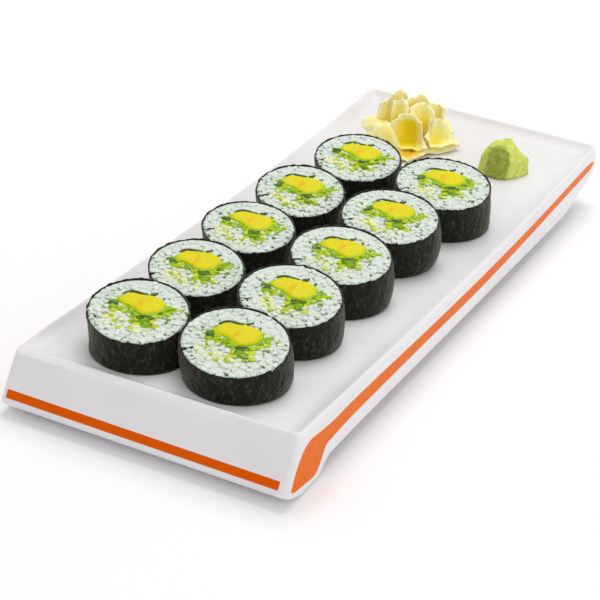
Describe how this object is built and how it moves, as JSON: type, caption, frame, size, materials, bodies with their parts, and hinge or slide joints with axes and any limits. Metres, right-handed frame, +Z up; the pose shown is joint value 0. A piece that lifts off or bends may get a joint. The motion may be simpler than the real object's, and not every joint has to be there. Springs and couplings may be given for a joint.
{
  "type": "maki sushi roll",
  "caption": "Seaweed-wrapped rice rolls with avocado and green filling in two rows on a long white footed tray, with a heap of pickled ginger and a lump of green horseradish paste.",
  "frame": {"origin": "centre of the tray seen from above, on the surface the tray stands on", "axes": "+X to the right seen from the tray's tall front face, +Y away from that face along the tray, +Z up"},
  "size_m": [0.1279, 0.3205, 0.0488],
  "materials": {
    "glaze": "glossy white glaze with plain orange bands painted on the front and the long sides",
    "nori": "dark green-black dried seaweed, slightly shiny, finely wrinkled",
    "rice": "moist cooked rice, cool white",
    "avocado": "moist soft avocado flesh, yellow with green margins",
    "greens": "moist chopped bright green filling",
    "ginger": "moist thin pale yellow slices",
    "wasabi": "dull light green paste, slightly grainy"
  },
  "bodies": {
    "root": {"tray": "glaze", "nori_left_1": "nori", "rice_left_1": "rice", "avocado_left_1": "avocado", "greens_left_1": "greens", "nori_left_2": "nori", "rice_left_2": "rice", "avocado_left_2": "avocado", "greens_left_2": "greens", "nori_left_3": "nori", "rice_left_3": "rice", "avocado_left_3": "avocado", "greens_left_3": "greens", "nori_left_4": "nori", "rice_left_4": "rice", "avocado_left_4": "avocado", "greens_left_4": "greens", "nori_left_5": "nori", "rice_left_5": "rice", "avocado_left_5": "avocado", "greens_left_5": "greens", "nori_right_1": "nori", "rice_right_1": "rice", "avocado_right_1": "avocado", "greens_right_1": "greens", "nori_right_2": "nori", "rice_right_2": "rice", "avocado_right_2": "avocado", "greens_right_2": "greens", "nori_right_3": "nori", "rice_right_3": "rice", "avocado_right_3": "avocado", "greens_right_3": "greens", "nori_right_4": "nori", "rice_right_4": "rice", "avocado_right_4": "avocado", "greens_right_4": "greens", "nori_right_5": "nori", "rice_right_5": "rice", "avocado_right_5": "avocado", "greens_right_5": "greens", "ginger": "ginger", "wasabi": "wasabi"}
  },
  "joints": []
}
